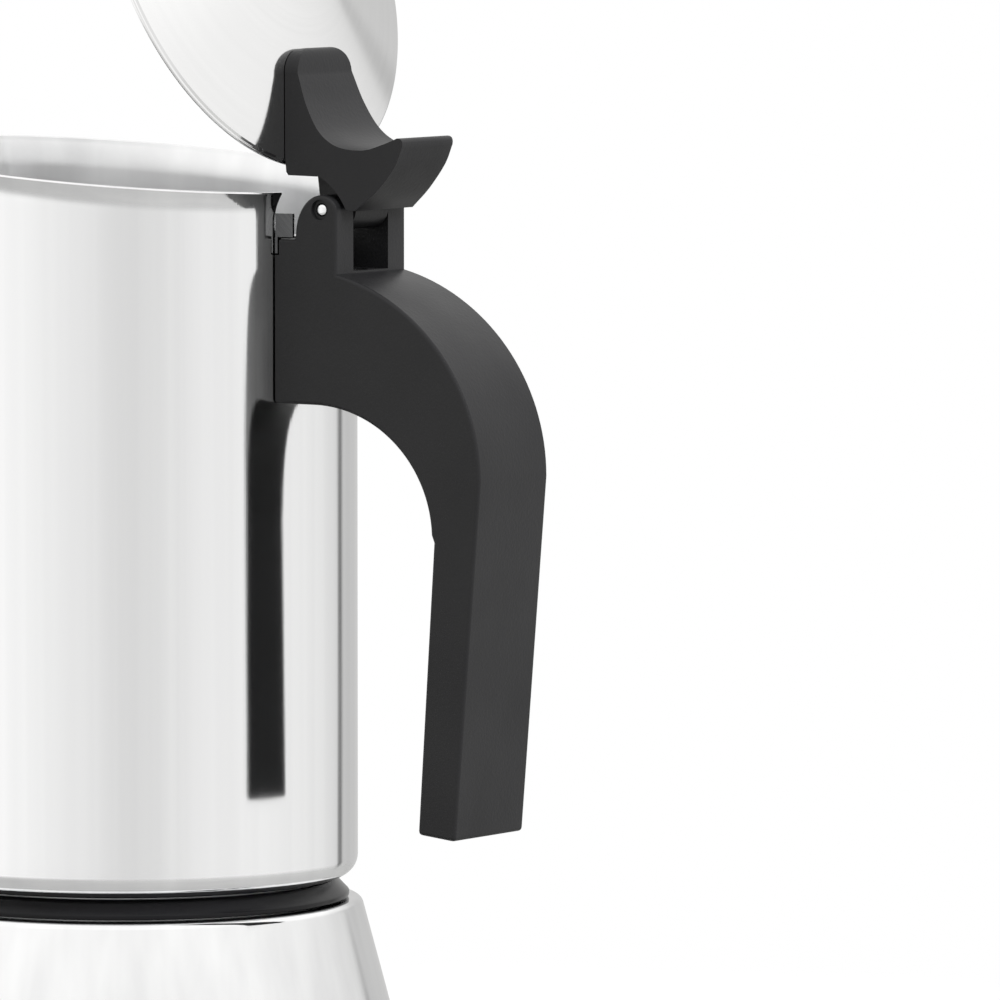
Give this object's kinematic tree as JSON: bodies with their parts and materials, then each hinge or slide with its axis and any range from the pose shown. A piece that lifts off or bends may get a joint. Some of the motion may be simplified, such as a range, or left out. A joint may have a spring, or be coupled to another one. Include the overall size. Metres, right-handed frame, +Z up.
{
  "type": "stove-top moka pot",
  "caption": "Stove-top moka pot in polished steel: conical boiler, coffee funnel, tall cylindrical collector with hinged domed lid, black moulded handle and thumb lever.",
  "frame": {"origin": "centre of the boiler's underside, where the pot stands on the stove", "axes": "+Z up the pot's axis, +X towards the handle, -X towards the spout, +Y towards the safety valve"},
  "size_m": [0.1371, 0.1139, 0.2675],
  "materials": {
    "polished_steel": "mirror-polished stainless steel with faint upright brushing",
    "satin_steel": "satin stainless steel",
    "black_plastic": "satin black heat-proof moulding",
    "black_rubber": "semi-gloss black",
    "silicone": "matt off-white silicone",
    "brass": "machined brass"
  },
  "bodies": {
    "boiler": {"boiler_shell": "polished_steel", "boiler_base": "satin_steel", "boiler_neck": "satin_steel", "joint_ring": "black_rubber", "valve_body": "brass", "valve_washer": "black_rubber", "valve_nut": "brass", "valve_cap": "brass", "valve_spring": "satin_steel"},
    "plunger": {"valve_plunger": "satin_steel"},
    "funnel": {"funnel_basket": "satin_steel", "funnel_tube": "satin_steel", "funnel_filter": "satin_steel"},
    "seal": {"gasket": "silicone", "filter_plate": "satin_steel"},
    "collector": {"collector_body": "polished_steel", "thread_collar": "satin_steel", "collector_floor": "satin_steel", "riser_column": "satin_steel", "riser_cap": "satin_steel", "handle_strap": "satin_steel", "handle": "black_plastic", "handle_screw": "satin_steel", "handle_nut": "satin_steel", "hinge_pin": "polished_steel"},
    "lid": {"lid": "polished_steel", "lid_lever": "black_plastic", "lever_screw_1": "satin_steel", "lever_screw_2": "satin_steel"}
  },
  "joints": [
    {"name": "collector_turn", "type": "hinge", "parent": "seal", "child": "collector", "pos_m": [0, 0, 0.0778], "axis": [0, 0, 1], "range_deg": [0, 4320]},
    {"name": "collector_lift", "type": "slide", "parent": "boiler", "child": "seal", "axis": [0, 0, 1], "range_m": [0, 0.0361]},
    {"name": "funnel_lift", "type": "slide", "parent": "boiler", "child": "funnel", "axis": [0, 0, 1], "range_m": [0, 0.0181]},
    {"name": "lid_hinge", "type": "hinge", "parent": "collector", "child": "lid", "pos_m": [0.0485, 0, 0.1871], "axis": [0, -1, 0], "range_deg": [0, 64]},
    {"name": "valve_slide", "type": "slide", "parent": "boiler", "child": "plunger", "axis": [0, 0.9676, 0.2526], "range_m": [0, 0.0008], "stiffness_N_per_m": 400, "springref_m": -0.004}
  ],
  "couplings": [
    {"joint": "collector_lift", "follows": "collector_turn", "m_per_rad": 0.00047746},
    {"joint": "funnel_lift", "follows": "collector_turn", "m_per_rad": 0.00023873}
  ]
}
